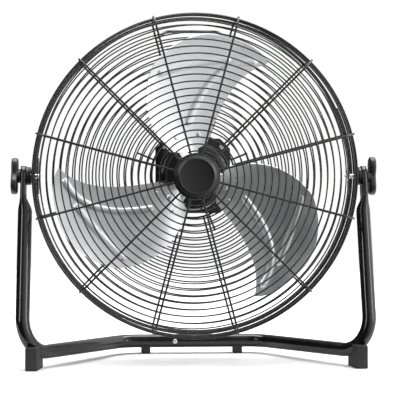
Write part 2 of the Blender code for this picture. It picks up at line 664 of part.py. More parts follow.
def make_motor(head):
    inside = MOTOR_RADIUS - MOTOR_WALL
    seat = BEARING_RADIUS + GAP
    front_join = PLATE_FRONT + GAP
    turned(
        "motor_front_shell",
        [
            (SHAFT_RADIUS + 2 * GAP, MOTOR_FRONT + 0.004), (0.020, MOTOR_FRONT + 0.004), (0.024, MOTOR_FRONT),
            (MOTOR_RADIUS - 0.010, MOTOR_FRONT), (MOTOR_RADIUS, MOTOR_FRONT - 0.010), (MOTOR_RADIUS, front_join),
            (inside, front_join), (inside, MOTOR_FRONT - 0.011), (inside - 0.008, MOTOR_FRONT - MOTOR_WALL),
            (seat + 0.002, MOTOR_FRONT - MOTOR_WALL), (seat + 0.002, MOTOR_FRONT - MOTOR_WALL - 0.006),
            (seat, MOTOR_FRONT - MOTOR_WALL - 0.006), (seat, MOTOR_FRONT), (SHAFT_RADIUS + 2 * GAP, MOTOR_FRONT),
        ],
        head, STEEL_BLACK,
    )
    rear_join = PLATE_REAR - GAP
    rear = turned(
        "motor_rear_shell",
        [
            (SHAFT_SIGHT, MOTOR_REAR + MOTOR_WALL), (seat, MOTOR_REAR + MOTOR_WALL),
            (seat, MOTOR_REAR + MOTOR_WALL + 0.010),
            (seat + 0.002, MOTOR_REAR + MOTOR_WALL + 0.010), (seat + 0.002, MOTOR_REAR + MOTOR_WALL),
            (inside - 0.010, MOTOR_REAR + MOTOR_WALL), (inside, MOTOR_REAR + 0.013), (inside, rear_join),
            (MOTOR_RADIUS, rear_join), (MOTOR_RADIUS, MOTOR_REAR + 0.012), (MOTOR_RADIUS - 0.012, MOTOR_REAR),
            (SHAFT_SIGHT, MOTOR_REAR),
        ],
        head, STEEL_BLACK,
    )
    spindle = cylinder_mesh("spindle_hole", SPINDLE_RADIUS + RUNNING_GAP, 4 * MOTOR_WALL, 12)
    # turned by half a side, so that no corner of the hole lies on an edge of the shell
    combine(rear, cutter("spindle_hole", spindle, head, (0.0, SWITCH_OFFSET, MOTOR_REAR), (0.0, 0.0, math.pi / 12)))
    cable = cylinder_mesh("cable_hole", GLAND_RADIUS - 0.003, 4 * MOTOR_WALL, 12)
    combine(rear, cutter("cable_hole", cable, head, (*GLAND_PLACE, MOTOR_REAR)))
    make_plate(head)
    make_motor_inside(head)
    make_controls(head)


def make_plate(head):
    """The pressed plate, square with its corners cut, that carries the motor on the rear guard."""
    cut = math.sqrt(2) * PLATE_CORNER_RADIUS - PLATE_HALF
    outline = []
    for i in range(4):
        for x, y in ((PLATE_HALF, cut), (cut, PLATE_HALF)):
            outline.append(Matrix.Rotation(math.pi / 2 * i, 2) @ Vector((x, y)))
    curve = bpy.data.curves.new("motor_plate", "CURVE")
    curve.dimensions = "2D"
    curve.fill_mode = "BOTH"
    curve.extrude = PLATE_THICKNESS / 2
    spline = curve.splines.new("POLY")
    spline.points.add(len(outline) - 1)
    for spot, (x, y) in zip(spline.points, outline):
        spot.co = (x, y, 0.0, 1.0)
    spline.use_cyclic_u = True
    middle = (PLATE_FRONT + PLATE_REAR) / 2
    plate = mesh_object("motor_plate", mesh_of_curve(curve, "motor_plate"), head, STEEL_BLACK, (0.0, 0.0, middle))
    hole = cylinder_mesh("plate_hole", STATOR_RADIUS + GAP, 4 * PLATE_THICKNESS, 32)
    combine(plate, cutter("plate_hole", hole, head, (0.0, 0.0, middle)))
    drill = cylinder_mesh("plate_screw_hole", SCREW_RADIUS + GAP, 4 * PLATE_THICKNESS, 10)
    for i in range(4):
        place = on_circle(PLATE_SCREW_RADIUS, math.pi / 4 + math.pi / 2 * i, PLATE_FRONT + GAP)
        combine(plate, cutter(f"plate_screw_hole_{i + 1}", drill, head, (place.x, place.y, middle)))
        outline = screw_outline(SCREW_RADIUS, PLATE_THICKNESS + GAP)
        turned(f"motor_screw_{i + 1}", outline, head, STEEL_BRIGHT, place, steps=12, closed=False)


def make_motor_inside(head):
    middle = (MOTOR_FRONT + MOTOR_REAR) / 2 + 0.004
    low, high = middle - STATOR_LENGTH / 2, middle + STATOR_LENGTH / 2
    turned("stator_core", ring(STATOR_BORE, STATOR_RADIUS, low, high), head, STEEL_BRIGHT)
    slot = (STATOR_BORE + 0.003, STATOR_RADIUS - 0.003)
    turned("front_winding", ring(*slot, high + GAP, high + GAP + WINDING_DEPTH), head, COPPER)
    turned("rear_winding", ring(*slot, low - GAP - WINDING_DEPTH, low - GAP), head, COPPER)
    front = MOTOR_FRONT - GAP - BEARING_DEPTH
    bearing = (SHAFT_RADIUS + GAP, BEARING_RADIUS)
    turned("front_bearing", ring(*bearing, front, front + BEARING_DEPTH), head, STEEL_BRIGHT, steps=20)
    back = MOTOR_REAR + MOTOR_WALL + GAP
    turned("rear_bearing", ring(*bearing, back + 0.0015, back + 0.0015 + BEARING_DEPTH), head, STEEL_BRIGHT, steps=20)
    size = CAPACITOR_SIZE
    at = (0.0, -SWITCH_OFFSET, MOTOR_REAR + MOTOR_WALL + 2 * GAP + size[2] / 2)
    mesh_object("run_capacitor", box_mesh("run_capacitor", size), head, PLASTIC_BLACK, at)


def make_controls(head):
    """Rotary switch inside the rear shell, its knob outside on a body of its own, and the cable gland."""
    inside = MOTOR_REAR + MOTOR_WALL + GAP
    collar = ring(SPINDLE_RADIUS + RUNNING_GAP, SWITCH_RADIUS, inside, inside + SWITCH_DEPTH)
    turned("speed_switch", collar, head, PLASTIC_BLACK, (0.0, SWITCH_OFFSET, 0.0), steps=16)
    axis = empty("speed_knob_axis", (0.0, SWITCH_OFFSET, 0.0), parent=head)
    back = MOTOR_REAR - RUNNING_GAP
    tip = back - SPEED_KNOB_DEPTH
    outline = [
        (0.0, inside + SWITCH_DEPTH), (SPINDLE_RADIUS, inside + SWITCH_DEPTH), (SPINDLE_RADIUS, back),
        (SPEED_KNOB_RADIUS, back), (SPEED_KNOB_RADIUS, back - 0.003), (SPEED_KNOB_RADIUS - 0.0015, back - 0.004),
        (SPEED_KNOB_RADIUS - 0.002, tip), (0.0, tip),
    ]
    knob = turned("speed_knob", outline, axis, PLASTIC_BLACK, steps=20, closed=False)
    ridge = box_mesh("knob_ridge", (0.003, 0.019, 0.003), (0.0, 0.0, tip))
    combine(knob, cutter("knob_ridge", ridge, axis), "UNION")
    gland = [
        (GLAND_RADIUS, MOTOR_REAR - GAP), (GLAND_RADIUS, MOTOR_REAR - 0.004),
        (GLAND_RADIUS - 0.002, MOTOR_REAR - GLAND_LENGTH), (GLAND_RADIUS - 0.004, MOTOR_REAR - GLAND_LENGTH),
        (GLAND_RADIUS - 0.004, MOTOR_REAR - GAP),
    ]
    turned("cable_gland", gland, head, RUBBER, (*GLAND_PLACE, 0.0), steps=16)


# ---------------------------------------------------------------- rotor


def blade_edges(radius):
    """The blade's two edges at a radius, in radians from the line through its middle rivet."""
    share = (radius - BLADE_ROOT_RADIUS) / (SWEEP_RADIUS - BLADE_ROOT_RADIUS)
    leading = -30 - 15 * share**3
    trailing = 38 - 9 * share - 32 * share**2
    return math.radians(leading), math.radians(trailing)


def blade_height(radius, across):
    """Height of the blade's middle surface: twisted, trailing edge forward, and a little hollow in front."""
    share = (radius - BLADE_ROOT_RADIUS) / (SWEEP_RADIUS - BLADE_ROOT_RADIUS)
    depth = ROOT_DEPTH + (TIP_DEPTH - ROOT_DEPTH) * max(0.0, share)
    return depth / 2 * across - CAMBER * (1 - across**2)


def blade_point(radius, across, lift=0.0):
    leading, trailing = blade_edges(radius)
    angle = (leading + trailing) / 2 + (trailing - leading) / 2 * across
    return on_circle(radius, angle, blade_height(radius, across) + lift)


def grid_mesh(name, steps, place):
    """A grid whose unit coordinates (0 to 1, -1 to 1) are moved by place."""
    form = bmesh.new()
    bmesh.ops.create_grid(form, x_segments=steps[0], y_segments=steps[1], size=1.0)
    for vertex in form.verts:
        vertex.co = place((vertex.co.x + 1) / 2, vertex.co.y)
    mesh = bpy.data.meshes.new(name)
    form.to_mesh(mesh)
    form.free()
    return mesh


def blade_place(share, across):
    drop = TIP_DROP if across > 0 else HORN_DROP
    outer = SWEEP_RADIUS - drop * abs(across) ** 3.5
    inner = BLADE_ROOT_RADIUS + ROOT_DROP * abs(across) ** 3
    return blade_point(inner + (outer - inner) * share, across)


def arm_plate_place(share, across):
    inner = HUB_RADIUS - 0.006
    lift = -(BLADE_THICKNESS / 2 + GAP + ARM_PLATE_THICKNESS / 2) * ARM_PLATE_LIFT
    return blade_point(inner + (ARM_PLATE_END - inner) * share, across * ARM_PLATE_SPREAD, lift)


def thicken(made, thickness):
    wall = made.modifiers.new("sheet", "SOLIDIFY")
    wall.thickness = thickness
    wall.offset = 0.0


def make_rotor(rotor):
    low = MOTOR_REAR + MOTOR_WALL + 2 * GAP
    length = SHAFT_FRONT - low
    mesh_object(
        "rotor_shaft", cylinder_mesh("rotor_shaft", SHAFT_RADIUS, length, 16), rotor, STEEL_BRIGHT,
        (0.0, 0.0, low + length / 2),
    )
    middle = (MOTOR_FRONT + MOTOR_REAR) / 2 + 0.004
    core = ring(SHAFT_RADIUS + GAP, STATOR_BORE - RUNNING_GAP, middle - CORE_LENGTH / 2, middle + CORE_LENGTH / 2)
    turned("rotor_core", core, rotor, STEEL_BRIGHT)
    hub = turned(
        "blade_hub", ring(SHAFT_RADIUS + GAP, HUB_RADIUS, ROTOR_Z + HUB_REAR, ROTOR_Z + HUB_FRONT), rotor, STEEL_BRIGHT
    )
    nut_at = ROTOR_Z + HUB_FRONT + GAP
    nut_bore = (SHAFT_RADIUS + GAP) / math.cos(math.pi / 6)  # six-sided, like the nut, and clear of the shaft
    turned("hub_nut", ring(nut_bore, NUT_RADIUS, nut_at, nut_at + NUT_DEPTH), rotor, STEEL_BRIGHT, steps=6)
    blade_mesh = shade(grid_mesh("fan_blade", BLADE_STEPS, blade_place))
    plate_mesh = grid_mesh("hub_arm", (4, 4), arm_plate_place)
    for i in range(BLADE_COUNT):
        turn = BLADE_START + 2 * math.pi * i / BLADE_COUNT
        blade = mesh_object(f"fan_blade_{i + 1}", blade_mesh, rotor, ALUMINIUM, (0, 0, ROTOR_Z), (0, 0, turn))
        thicken(blade, BLADE_THICKNESS)
        plate = cutter(f"hub_arm_{i + 1}", plate_mesh, rotor, (0, 0, ROTOR_Z), (0, 0, turn))
        thicken(plate, ARM_PLATE_THICKNESS)
        combine(hub, plate, "UNION")
        for j, (radius, degrees) in enumerate(RIVETS):
            add_rivet(f"blade_{i + 1}_rivet_{j + 1}", radius, math.radians(degrees), turn, rotor)


def add_rivet(name, radius, angle, turn, rotor):
    """A low rivet head lying on the blade's front, along the surface's normal."""
    leading, trailing = blade_edges(radius)
    across = (angle - (leading + trailing) / 2) / ((trailing - leading) / 2)
    here = blade_point(radius, across)
    outward = blade_point(radius + 0.002, across) - here
    sideways = blade_point(radius, across + 0.02) - here
    normal = outward.cross(sideways).normalized()
    place = here + normal * (BLADE_THICKNESS / 2 + 2 * GAP)
    spin = Matrix.Rotation(turn, 3, "Z")
    at = spin @ place
    lean = (spin @ normal).to_track_quat("Z", "Y").to_euler()
    outline = [(0.0, RIVET_HEIGHT), (RIVET_RADIUS * 0.7, RIVET_HEIGHT), (RIVET_RADIUS, 0.0), (0.0, 0.0)]
    turned(name, outline, rotor, STEEL_BRIGHT, (at.x, at.y, at.z + ROTOR_Z), lean, 10, False)


# ---------------------------------------------------------------- assembly

clear_scene()
PARTS = new_collection(COLLECTION)
CUTTERS = new_collection(COLLECTION + "_cutters")

STEEL_BLACK = material("black_tube", (0.012, 0.012, 0.014), 0.25)
STEEL_WIRE = material("black_wire", (0.015, 0.015, 0.017), 0.35)
STEEL_BRIGHT = material("bright_steel", (0.62, 0.62, 0.62), 0.3, 1.0)
ALUMINIUM = material("blade_aluminium", (0.72, 0.73, 0.75), 0.35, 1.0)
PLASTIC_BLACK = material("black_plastic", (0.02, 0.02, 0.022), 0.45)
RUBBER = material("black_rubber", (0.03, 0.03, 0.032), 0.8)
COPPER = material("copper_winding", (0.55, 0.22, 0.09), 0.4, 1.0)

FRONT_VIEW = (math.pi / 2, 0.0, 0.0)  # turns the head's frame so that its z points to the front
HEAD = empty("head_tilt_axis", (0.0, PIVOT_Y, PIVOT_HEIGHT), FRONT_VIEW)
ROTOR = empty("rotor_axis", (0.0, 0.0, 0.0), parent=HEAD)

make_stand()
make_cage(HEAD)
make_pivot("left", -1, HEAD, empty("left_knob_axis", (0.0, 0.0, 0.0), parent=HEAD))
make_pivot("right", 1, HEAD, empty("right_knob_axis", (0.0, 0.0, 0.0), parent=HEAD))
make_motor(HEAD)
make_rotor(ROTOR)
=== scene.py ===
"""The looks of a high-velocity floor fan, built round its CAD frame.

Lengths are metres. Pieces on the head are drawn in the head's own frame, a front view with x to the right,
y up and z out through the grille, and the tilt axis through its origin; HEAD puts them in place.
"""

import json
import math

import bmesh
import bpy
from mathutils import Matrix, Vector


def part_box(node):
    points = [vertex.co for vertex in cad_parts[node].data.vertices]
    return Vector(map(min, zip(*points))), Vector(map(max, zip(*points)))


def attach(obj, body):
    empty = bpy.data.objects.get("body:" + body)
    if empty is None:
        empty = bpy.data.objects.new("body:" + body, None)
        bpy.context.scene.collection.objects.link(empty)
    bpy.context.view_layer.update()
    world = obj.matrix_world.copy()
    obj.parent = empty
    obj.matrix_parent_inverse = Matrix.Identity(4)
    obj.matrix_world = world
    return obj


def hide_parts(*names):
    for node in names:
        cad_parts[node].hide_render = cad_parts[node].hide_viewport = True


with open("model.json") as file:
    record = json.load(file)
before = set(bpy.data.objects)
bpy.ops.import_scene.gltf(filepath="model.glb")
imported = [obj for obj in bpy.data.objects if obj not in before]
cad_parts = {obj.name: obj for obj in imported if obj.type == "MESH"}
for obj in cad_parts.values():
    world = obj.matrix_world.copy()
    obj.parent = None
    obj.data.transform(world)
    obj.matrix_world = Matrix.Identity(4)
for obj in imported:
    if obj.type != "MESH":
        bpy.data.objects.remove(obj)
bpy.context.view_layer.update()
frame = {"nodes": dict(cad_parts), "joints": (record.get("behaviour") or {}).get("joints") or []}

# ---- the frame's own places
JOINTS = {joint["name"]: joint for joint in frame["joints"]}
PIVOT = Vector(JOINTS["head_tilt"]["pos_m"])
HEAD = Matrix.Translation(PIVOT) @ Matrix.Rotation(math.pi / 2, 4, "X")

# ---- guards
CAGE_RADIUS = 0.282  # centre line of the side wire
CAGE_DEPTH = 0.139  # between the centre lines of the two faces
CORNER_RADIUS = 0.020
WIRE_PITCH = 0.012
WIRE_RADIUS = 0.00125
WIRE_POINTS = 128  # on each turn
RIB_RADIUS = 0.00185
RIB_COUNT = 12
RIB_START = math.radians(15.0)
WELD_SINK = 0.0002  # how far a rib is pressed into the wire under it
RING_Z = 0.0062  # each guard's clamp ring, from the middle
SWEEP_CLEARANCE = 0.0295
STUB_COUNT = 8
STUB_END = 0.108
GUARDS = {
    "front": {"side": 1, "hub": 0.0385, "start": 0.043, "phase": math.radians(110.8)},
    "rear": {"side": -1, "hub": 0.0765, "start": 0.0835, "phase": math.radians(104.2)},
}
HALF_DEPTH = CAGE_DEPTH / 2
FACE_LENGTH = CAGE_RADIUS - CORNER_RADIUS
ARC_LENGTH = CORNER_RADIUS * math.pi / 2
RIB_OFFSET = WIRE_RADIUS + RIB_RADIUS - WELD_SINK

# ---- stand
TUBE_RADIUS = 0.01225
BEND_RADIUS = 0.050
ARM_LEAN = math.radians(19.0)
ARM_ABOVE_PIVOT = 0.018
FLAT_THICKNESS = 0.0095
FLAT_HALF_WIDTH = 0.0172
FLAT_SHIFT = 0.0035
FLAT_END = 0.034
ROUND_START = 0.066
BASE_FRONT_HEIGHT = 0.028
BASE_REAR_HEIGHT = 0.0225
REAR_BEND_X = 0.125
FOOT_SHEAR = 0.008
GROOVE_GAP = 0.0002
SEAM_GAP = 0.00015  # each tube's end, from the middle of the stand's joint

# ---- screws and knobs
SCREW_HEAD_DEPTH = 0.0022
SCREW_SHANK = 0.002
BOLT_BORE = 0.0043
KNOB_LENGTH = 0.068
KNOB_WIDTH = 0.032  # over each lobe
KNOB_WAIST = 0.021
KNOB_DEPTH = 0.0115
LOBE_SWEEP = math.radians(118.0)  # each rounded end, either side of its middle
KNOB_TURN = {"left": math.radians(-28.0), "right": 0.0}

# ---- handle and motor
HANDLE_RADIUS = 0.0028
HANDLE_HALF_FLAT = 0.047
HANDLE_BEND = 0.011
SHELL_WALL = 0.003

# ---- rotor
BLADE_COUNT = 3
BLADE_START = math.radians(99.3)
ROTOR_Z = 0.008
SWEEP_RADIUS = CAGE_RADIUS - SWEEP_CLEARANCE
BLADE_ROOT_RADIUS = 0.046
BLADE_THICKNESS = 0.0012
TIP_DROP = 0.042  # how far the trailing corner falls back from the sweep
HORN_DROP = 0.012  # the leading corner keeps nearly the full sweep
ROOT_DROP = 0.016
ROOT_DEPTH = 0.030
TIP_DEPTH = 0.052
CAMBER = 0.007
BLADE_STEPS = (96, 84)
RIDGE_HALF_WIDTH = 0.0062
RIDGE_HEIGHT = 0.0026
RIDGE_SHOULDER = 0.0042
RIVETS = ((0.074, -15.0), (0.059, 0.0), (0.074, 17.0))
RIVET_RADIUS = 0.004

# ---- stage
ROOM_LIGHT = 0.40  # strength of the room that the fan reflects, beside a white backdrop of 1
ROOM_FROM_RIGHT = 1.5
ROOM_FROM_ABOVE = 0.40
ROOM_DARKEST = 0.05
FLOOR_SIZE = 1.2
FLOOR_IN_FRONT = 0.17
LIGHT_AIM = (0.0, 0.0, 0.30)
CAMERA_FOCAL = 122.2
CAMERA_DISTANCE = 2.4


# ---------------------------------------------------------------- nodes


class Signal:
    """An output in a node tree. Python's operators on it add Math nodes."""

    def __init__(self, tree, socket):
        self.tree = tree
        self.socket = socket

    def maths(self, operation, *others):
        return add(self.tree, "ShaderNodeMath", {"operation": operation}, dict(enumerate((self, *others))))

    def __add__(self, other):
        return self.maths("ADD", other)

    def __radd__(self, other):
        return self.maths("ADD", other)

    def __sub__(self, other):
        return self.maths("SUBTRACT", other)

    def __rsub__(self, other):
        return add(self.tree, "ShaderNodeMath", {"operation": "SUBTRACT"}, {0: other, 1: self})

    def __mul__(self, other):
        return self.maths("MULTIPLY", other)

    def __rmul__(self, other):
        return self.maths("MULTIPLY", other)

    def __truediv__(self, other):
        return self.maths("DIVIDE", other)

    def at_least(self, other):
        return self.maths("MAXIMUM", other)

    def at_most(self, other):
        return self.maths("MINIMUM", other)


def add(tree, kind, settings, inputs, output=0):
    """Adds a node: its settings first, then the values or links of its sockets."""
    node = tree.nodes.new(kind)
    for setting, value in settings.items():
        setattr(node, setting, value)
    for socket, value in inputs.items():
        feed(tree, node.inputs[socket], value)
    return Signal(tree, node.outputs[output])


def feed(tree, socket, value):
    if isinstance(value, Signal):
        tree.links.new(value.socket, socket)
    else:
        socket.default_value = value


# ---------------------------------------------------------------- finishes


class Finish:
    """A material whose patterns read Object coordinates, so that they stay put on the piece."""

    def __init__(self, name, colour, roughness, metallic=0.0):
        self.material = bpy.data.materials.new(name)
        self.material.use_nodes = True
        self.material.diffuse_color = (*colour, 1.0)
        self.tree = self.material.node_tree
        self.shader = self.tree.nodes["Principled BSDF"]
        self.place = add(self.tree, "ShaderNodeTexCoord", {}, {}, "Object")
        self.set("Base Color", (*colour, 1.0))
        self.set("Roughness", roughness)
        self.set("Metallic", metallic)

    def set(self, socket, value):
        feed(self.tree, self.shader.inputs[socket], value)

    def noise(self, scale, detail=2.0, stretch=(1.0, 1.0, 1.0)):
        spread = add(self.tree, "ShaderNodeMapping", {}, {"Vector": self.place, "Scale": stretch})
        pattern = {"Vector": spread, "Scale": scale, "Detail": detail}
        return add(self.tree, "ShaderNodeTexNoise", {}, pattern, "Fac")

    def mix(self, share, first, second):
        """A colour between two, by share."""
        settings = {"data_type": "RGBA", "clamp_factor": True}
        return add(self.tree, "ShaderNodeMix", settings, {0: share, 6: (*first, 1.0), 7: (*second, 1.0)}, 2)

    def bump(self, height, strength, distance):
        relief = {"Height": height, "Strength": strength, "Distance": distance}
        self.set("Normal", add(self.tree, "ShaderNodeBump", {}, relief))


def powder_coat(name, colour, roughness, peel):
    """Baked black powder: cloudy gloss and a fine orange peel of the given strength."""
    coat = Finish(name, colour, roughness)
    cloud = coat.noise(9.0, 3.0)
    lighter = tuple(channel * 1.5 for channel in colour)
    coat.set("Base Color", coat.mix(cloud, colour, lighter))
    coat.set("Roughness", roughness + 0.10 * (cloud - 0.5) + 0.05 * (coat.noise(420.0) - 0.5))
    coat.bump(coat.noise(650.0, 3.0), peel, 0.0004)
    return coat.material


def rolled_aluminium():
    """Mill-finished sheet: grain one way and faint rolling bands, under a large painted mottle of wire
    shadows.
    """
    sheet = Finish("blade_sheet", (0.78, 0.79, 0.81), 0.34, 0.9)
    grain = sheet.noise(60.0, 4.0, (1.0, 1.0, 14.0))
    # cloud: a large dark and light mottle, painted into the colour as shadows of the guard wires on the
    # blades
    cloud = sheet.noise(22.0, 4.0)
    # The colour mixes the real grain with the painted wire-shadow mottle.
    sheet.set("Base Color", sheet.mix(0.6 * cloud + 0.4 * grain, (0.62, 0.625, 0.635), (0.86, 0.865, 0.875)))
    sheet.set("Roughness", 0.33 + 0.12 * (grain - 0.5) + 0.2 * cloud * cloud)
    sheet.bump(grain + 0.35 * sheet.noise(900.0), 0.10, 0.0006)
    return sheet.material


def plated_steel():
    plate = Finish("zinc_plate", (0.66, 0.66, 0.67), 0.28, 1.0)
    spangle = plate.noise(260.0, 3.0)
    plate.set("Base Color", plate.mix(spangle, (0.56, 0.56, 0.57), (0.76, 0.76, 0.75)))
    plate.set("Roughness", 0.22 + 0.18 * spangle)
    plate.bump(plate.noise(1400.0), 0.12, 0.0002)
    return plate.material


def moulded_plastic():
    """Spark-eroded mould texture on black plastic."""
    plastic = Finish("moulded_plastic", (0.004, 0.004, 0.0045), 0.36)
    grit = plastic.noise(1500.0, 3.0)
    cloud = plastic.noise(30.0)
    plastic.set("Base Color", plastic.mix(cloud, (0.003, 0.003, 0.0035), (0.006, 0.006, 0.0065)))
    plastic.set("Roughness", 0.30 + 0.12 * grit)
    plastic.bump(grit, 0.30, 0.0002)
    return plastic.material


def foot_rubber():
    rubber = Finish("foot_rubber", (0.022, 0.022, 0.023), 0.7)
    bloom = rubber.noise(45.0, 4.0)
    rubber.set("Base Color", rubber.mix(bloom, (0.006, 0.006, 0.0065), (0.013, 0.013, 0.0135)))
    rubber.set("Roughness", 0.58 + 0.24 * bloom)
    rubber.bump(rubber.noise(900.0, 4.0), 0.45, 0.0003)
    return rubber.material


def copper_winding():
    copper = Finish("enamelled_copper", (0.50, 0.20, 0.08), 0.35, 0.9)
    strands = copper.noise(500.0, 2.0, (1.0, 0.08, 1.0))
    copper.set("Base Color", copper.mix(strands, (0.34, 0.12, 0.05), (0.62, 0.27, 0.11)))
    copper.set("Roughness", 0.28 + 0.2 * strands)
    copper.bump(strands, 0.8, 0.0008)
    return copper.material


def laminated_steel():
    """Stacked sheets: dark joints every half millimetre of depth."""
    core = Finish("laminated_core", (0.42, 0.42, 0.43), 0.4, 1.0)
    depth = add(core.tree, "ShaderNodeSeparateXYZ", {}, {0: core.place}, "Y")
    joint = (depth * (2 * math.pi / 0.0005)).maths("SINE")
    core.set("Base Color", core.mix(0.5 + 0.5 * joint, (0.26, 0.25, 0.24), (0.50, 0.50, 0.51)))
    core.set("Roughness", 0.36 + 0.12 * core.noise(200.0))
    core.bump(joint, 0.4, 0.0002)
    return core.material


# ---------------------------------------------------------------- mesh tools


def mesh_from(name, form, sharp=35.0):
    bmesh.ops.remove_doubles(form, verts=form.verts, dist=0.000002)
    bmesh.ops.recalc_face_normals(form, faces=form.faces)
    mesh = bpy.data.meshes.new(name)
    form.to_mesh(mesh)
    form.free()
    return smooth(mesh, sharp)


def smooth(mesh, sharp=35.0):
    mesh.shade_smooth()
    mesh.set_sharp_from_angle(angle=math.radians(sharp))
    return mesh


def bent(corners, radius, steps=6, closed=False):
    """The corners as a path whose bends are arcs of the radius, or of less where a run is short."""
    points = [Vector(corner).to_3d() for corner in corners]
    count = len(points)
    path = [] if closed else points[:1]
    for i in range(count) if closed else range(1, count - 1):
        corner = points[i]
        back = points[i - 1] - corner
        ahead = points[(i + 1) % count] - corner
        half = back.angle(ahead) / 2
        reach = min(radius / math.tan(half), 0.48 * back.length, 0.48 * ahead.length)
        size = reach * math.tan(half)
        start = corner + back.normalized() * reach
        end = corner + ahead.normalized() * reach
        middle = corner + (back.normalized() + ahead.normalized()).normalized() * size / math.sin(half)
        axis = (start - middle).cross(end - middle).normalized()
        for j in range(steps + 1):
            swing = Matrix.Rotation((math.pi - 2 * half) * j / steps, 3, axis)
            path.append(middle + swing @ (start - middle))
    return path if closed else path + points[-1:]


def turned(name, outline, segments=96, closed=False, ease=0.0006):
    """The (radius, z) outline turned about z, its corners eased."""
    eased = bent(outline, ease, 3, closed)
    form = bmesh.new()
    spots = [form.verts.new((point.x, 0.0, point.y)) for point in eased]
    following = spots[1:] + spots[:1] if closed else spots[1:]
    edges = [form.edges.new(pair) for pair in zip(spots, following)]
    bmesh.ops.spin(
        form, geom=spots + edges, cent=(0, 0, 0), axis=(0, 0, 1), angle=2 * math.pi, steps=segments,
        use_merge=True,
    )
    return mesh_from(name, form)


def lofted(name, rings, sharp=35.0):
    """A skin through rings of points, closed at both ends."""
    form = bmesh.new()
    rows = [[form.verts.new(point) for point in ring] for ring in rings]
    for row, following in zip(rows, rows[1:]):
        for i in range(len(row)):
            form.faces.new((row[i - 1], row[i], following[i], following[i - 1]))
    form.faces.new(rows[0])
    form.faces.new(rows[-1])
    return mesh_from(name, form, sharp)


def carried(path, side):
    """Each point of the path with its tangent and a side vector carried along it without twist."""
    for i, point in enumerate(path):
        tangent = (path[min(i + 1, len(path) - 1)] - path[max(i - 1, 0)]).normalized()
        side = (side - tangent * side.dot(tangent)).normalized()
        yield point, tangent, side


def rod(name, path, radius, sides=16):
    """A round bar along a path, its ends eased."""
    rings = []
    for point, tangent, side in carried(path, Vector((0.0, 0.0, 1.0))):
        up = tangent.cross(side)
        angles = [2 * math.pi * i / sides for i in range(sides)]
        rings.append([point + (side * math.cos(a) + up * math.sin(a)) * radius for a in angles])
    for ring, point in ((rings[0], path[0]), (rings[-1], path[-1])):
        ring[:] = [point + (spot - point) * 0.75 for spot in ring]
    return lofted(name, rings)


def slab(name, outline, depth, bevel, segments=3):
    """A flat outline given a depth about z = 0, with rounded edges."""
    form = bmesh.new()
    face = form.faces.new([form.verts.new((point[0], point[1], -depth / 2)) for point in outline])
    raised = bmesh.ops.extrude_face_region(form, geom=[face])["geom"]
    top = [part for part in raised if isinstance(part, bmesh.types.BMVert)]
    bmesh.ops.translate(form, vec=(0.0, 0.0, depth), verts=top)
    mesh = mesh_from(name, form)
    rounding = {
        "width": bevel, "segments": segments, "limit_method": "ANGLE", "angle_limit": math.radians(50.0),
    }
    return smooth(shaped(mesh, ("BEVEL", rounding)))


def box_outline(width, height):
    x, y = width / 2, height / 2
    return [(x, y), (-x, y), (-x, -y), (x, -y)]


def shaped(mesh, *steps):
    """The mesh after modifiers, each given as its type and its settings."""
    holder = bpy.data.objects.new(mesh.name, mesh)
    bpy.context.scene.collection.objects.link(holder)
    for kind, settings in steps:
        modifier = holder.modifiers.new(kind, kind)
        for setting, value in settings.items():
            setattr(modifier, setting, value)
    graph = bpy.context.evaluated_depsgraph_get()
    result = bpy.data.meshes.new_from_object(holder.evaluated_get(graph))
    bpy.data.objects.remove(holder)
    return result


def cut(mesh, tool, operation="DIFFERENCE"):
    """The mesh less the tool's mesh, or joined with it."""
    cutter = bpy.data.objects.new("tool", tool)
    bpy.context.scene.collection.objects.link(cutter)
    result = shaped(mesh, ("BOOLEAN", {"object": cutter, "operation": operation, "solver": "EXACT"}))
    bpy.data.objects.remove(cutter)
    return smooth(result)


def moved(mesh, *matrices):
    for matrix in matrices:
        mesh.transform(matrix)
    return mesh


def grown(name, build, **sizes):
    """The mesh that a Geometry Nodes tree grows: build draws it from the named inputs."""
    tree = bpy.data.node_groups.new(name, "GeometryNodeTree")
    tree.interface.new_socket("Geometry", in_out="OUTPUT", socket_type="NodeSocketGeometry")
    for label, size in sizes.items():
        kind = "NodeSocketInt" if isinstance(size, int) else "NodeSocketFloat"
        tree.interface.new_socket(label, in_out="INPUT", socket_type=kind)
    entry = tree.nodes.new("NodeGroupInput")
    shape = build(tree, {label: Signal(tree, entry.outputs[label]) for label in sizes})
    realized = add(tree, "GeometryNodeRealizeInstances", {}, {"Geometry": shape})
    painted = add(tree, "GeometryNodeSetMaterial", {}, {"Geometry": realized, "Material": WIRE_BLACK})
    tree.links.new(painted.socket, tree.nodes.new("NodeGroupOutput").inputs["Geometry"])
    holder = bpy.data.objects.new(name, bpy.data.meshes.new(name))
    bpy.context.scene.collection.objects.link(holder)
    modifier = holder.modifiers.new(name, "NODES")
    modifier.node_group = tree
    for item in tree.interface.items_tree:
        if item.in_out == "INPUT":
            modifier[item.identifier] = sizes[item.name]
    graph = bpy.context.evaluated_depsgraph_get()
    mesh = bpy.data.meshes.new_from_object(holder.evaluated_get(graph))
    bpy.data.objects.remove(holder)
    return smooth(mesh, 50.0)


def piece(name, mesh, body, material, slot, *nodes):
    """A finished object that rides on a body and stands for the CAD nodes named."""
    made = bpy.data.objects.new(name, mesh)
    bpy.context.scene.collection.objects.link(made)
    mesh.materials.clear()
    mesh.materials.append(material)
    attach(made, body)
    if nodes:
        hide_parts(*nodes)
    return made


def dress(material, *nodes):
    """Gives CAD nodes that stay in view a better material."""
    for node in nodes:
        held = frame["nodes"][node].data.materials
        held.clear()
        held.append(material)


def on_circle(radius, angle, z=0.0):
    return Vector((radius * math.cos(angle), radius * math.sin(angle), z))


def facing(side):
    """Turns a piece made along z to point along x, outwards on the given side."""
    return Matrix.Rotation(side * math.pi / 2, 4, "Y")


# ---------------------------------------------------------------- guards


